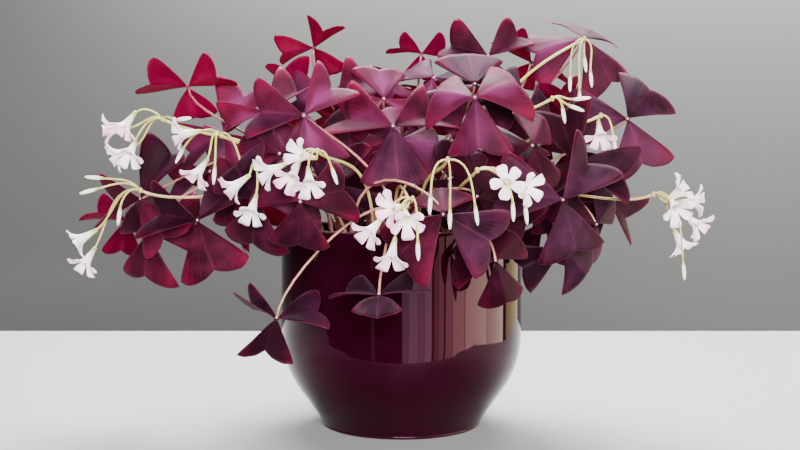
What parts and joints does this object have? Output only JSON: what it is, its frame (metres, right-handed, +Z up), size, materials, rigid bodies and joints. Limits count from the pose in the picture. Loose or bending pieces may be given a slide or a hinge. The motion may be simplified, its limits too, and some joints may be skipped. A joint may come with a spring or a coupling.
{
  "type": "potted oxalis",
  "caption": "Purple-leaved oxalis with sprays of small white flowers, growing in soil in a round glazed pot that tapers to its foot.",
  "frame": {"origin": "middle of the pot's flat underside, on the surface that it stands on", "axes": "+Z up, +X to the right seen from the front, and the front of the plant looks along -Y"},
  "size_m": [0.4153, 0.3023, 0.2744],
  "materials": {
    "plum_glaze": "glossy plum glaze",
    "soil": "matt dark potting compost",
    "leaf": "satin purple leaf, crimson underneath",
    "flower": "soft white petals on pale green stalks"
  },
  "bodies": {
    "root": {"leaves_01": "leaf", "leaves_02": "leaf", "leaves_03": "leaf", "leaves_04": "leaf", "leaves_05": "leaf", "leaves_06": "leaf", "leaves_07": "leaf", "leaves_08": "leaf", "leaves_09": "leaf", "leaves_10": "leaf", "leaves_11": "leaf", "leaves_12": "leaf", "leaves_13": "leaf", "leaves_14": "leaf", "leaves_15": "leaf", "leaves_16": "leaf", "leaves_17": "leaf", "leaves_18": "leaf", "leaves_19": "leaf", "leaves_20": "leaf", "leaves_21": "leaf", "leaves_22": "leaf", "leaves_23": "leaf", "leaves_24": "leaf", "leaves_25": "leaf", "leaves_26": "leaf", "leaves_27": "leaf", "pot": "plum_glaze", "soil": "soil", "spray_back_left": "flower", "spray_back_right": "flower", "spray_centre_fall": "flower", "spray_centre_left": "flower", "spray_centre_long": "flower", "spray_left_fan": "flower", "spray_left_high": "flower", "spray_left_inner": "flower", "spray_left_low": "flower", "spray_right": "flower", "spray_right_hidden": "flower", "spray_right_upper": "flower", "spray_star": "flower", "spray_top_right": "flower"}
  },
  "joints": []
}
